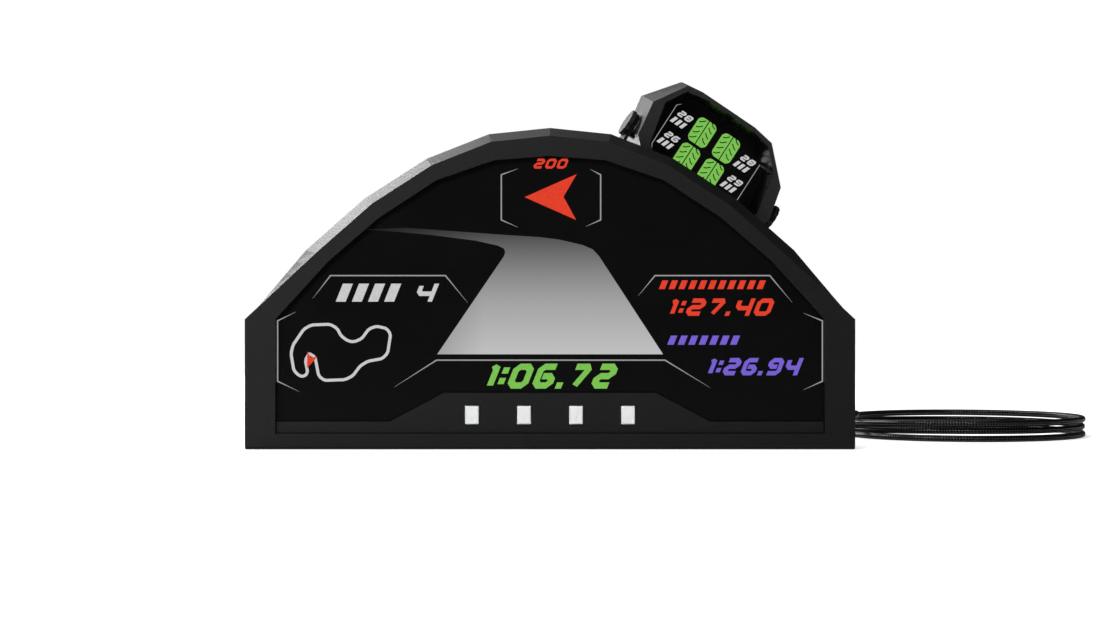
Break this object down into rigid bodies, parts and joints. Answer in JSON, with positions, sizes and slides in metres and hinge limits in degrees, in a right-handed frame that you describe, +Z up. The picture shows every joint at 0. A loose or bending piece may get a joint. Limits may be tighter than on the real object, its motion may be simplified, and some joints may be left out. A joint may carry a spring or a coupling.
{
  "type": "lap counter",
  "caption": "Desk-top lap counter: arched display housing with push keys, a small tilting and swivelling display pod on its shoulder, and a coiled lead with a plug.",
  "frame": {"origin": "middle of the underside of the non-slip pad that the housing rests on", "axes": "+Z up, the display faces -Y, +X to the viewer's right, where the pod and the lead are"},
  "size_m": [0.4116, 0.1766, 0.1745],
  "materials": {
    "housing_plastic": "fine texture",
    "panel_plastic": "satin",
    "screen": "polished",
    "display_module": "satin",
    "key_plastic": "satin",
    "circuit_board": "solder mask",
    "steel": "brushed",
    "black_steel": "black oxide",
    "insert_brass": "machined",
    "soft_rubber": "matte",
    "braided_cord": "braided"
  },
  "bodies": {
    "housing": {"front_bezel": "housing_plastic", "display_glass": "screen", "lcd_panel": "display_module", "display_carrier": "panel_plastic", "button_panel": "panel_plastic", "switch_1": "panel_plastic", "switch_2": "panel_plastic", "switch_3": "panel_plastic", "switch_4": "panel_plastic", "key_board": "circuit_board", "main_board": "circuit_board", "processor": "panel_plastic", "board_socket": "key_plastic", "rear_housing": "housing_plastic", "rear_cover": "housing_plastic", "base_pad": "soft_rubber", "flange_screw_1": "black_steel", "flange_screw_2": "black_steel", "flange_screw_3": "black_steel", "flange_screw_4": "black_steel", "flange_screw_5": "black_steel", "cover_screw_1": "black_steel", "cover_screw_2": "black_steel", "cover_screw_3": "black_steel", "cover_screw_4": "black_steel", "cover_screw_5": "black_steel", "cover_screw_6": "black_steel", "mount_insert_1": "insert_brass", "mount_insert_2": "insert_brass", "mount_insert_3": "insert_brass", "mount_insert_4": "insert_brass", "gland_body": "housing_plastic", "gland_nut": "housing_plastic", "cable_boot": "soft_rubber", "cable_lead": "braided_cord", "cable_coil": "braided_cord", "cable_tail": "braided_cord", "plug_body": "soft_rubber", "plug_sleeve": "steel", "pod_pedestal": "housing_plastic", "pedestal_nut": "black_steel", "swivel_screw": "steel"},
    "key_1": {"key_1": "key_plastic"},
    "key_2": {"key_2": "key_plastic"},
    "key_3": {"key_3": "key_plastic"},
    "key_4": {"key_4": "key_plastic"},
    "yoke": {"pod_yoke": "black_steel", "friction_washer_left": "steel", "friction_washer_right": "steel"},
    "pod": {"pod_hood": "housing_plastic", "pod_lens": "screen", "pod_lcd": "display_module", "pod_board": "circuit_board", "pod_rear_cover": "housing_plastic", "pod_screw_1": "black_steel", "pod_screw_2": "black_steel", "pod_screw_3": "black_steel", "pod_screw_4": "black_steel"},
    "knob_left": {"pivot_knob_left": "housing_plastic"},
    "knob_right": {"pivot_knob_right": "housing_plastic"}
  },
  "joints": [
    {"name": "key_1_press", "type": "slide", "parent": "housing", "child": "key_1", "axis": [0, 1, 0], "range_m": [0, 0.001], "stiffness_N_per_m": 600, "springref_m": -0.0005},
    {"name": "key_2_press", "type": "slide", "parent": "housing", "child": "key_2", "axis": [0, 1, 0], "range_m": [0, 0.001], "stiffness_N_per_m": 600, "springref_m": -0.0005},
    {"name": "key_3_press", "type": "slide", "parent": "housing", "child": "key_3", "axis": [0, 1, 0], "range_m": [0, 0.001], "stiffness_N_per_m": 600, "springref_m": -0.0005},
    {"name": "key_4_press", "type": "slide", "parent": "housing", "child": "key_4", "axis": [0, 1, 0], "range_m": [0, 0.001], "stiffness_N_per_m": 600, "springref_m": -0.0005},
    {"name": "pod_swivel", "type": "hinge", "parent": "housing", "child": "yoke", "pos_m": [0.07168, 0.0078, 0.13074], "axis": [0.5412, 0, 0.8409], "range_deg": [-21, 4.5]},
    {"name": "pod_tilt", "type": "hinge", "parent": "yoke", "child": "pod", "pos_m": [0.07168, 0.0078, 0.13074], "axis": [0.8268, 0.1822, -0.5321], "range_deg": [-18, 20]},
    {"name": "knob_left_turn", "type": "hinge", "parent": "pod", "child": "knob_left", "pos_m": [0.07168, 0.0078, 0.13074], "axis": [0.8268, 0.1822, -0.5321], "continuous": true},
    {"name": "knob_right_turn", "type": "hinge", "parent": "pod", "child": "knob_right", "pos_m": [0.07168, 0.0078, 0.13074], "axis": [0.8268, 0.1822, -0.5321], "continuous": true}
  ]
}
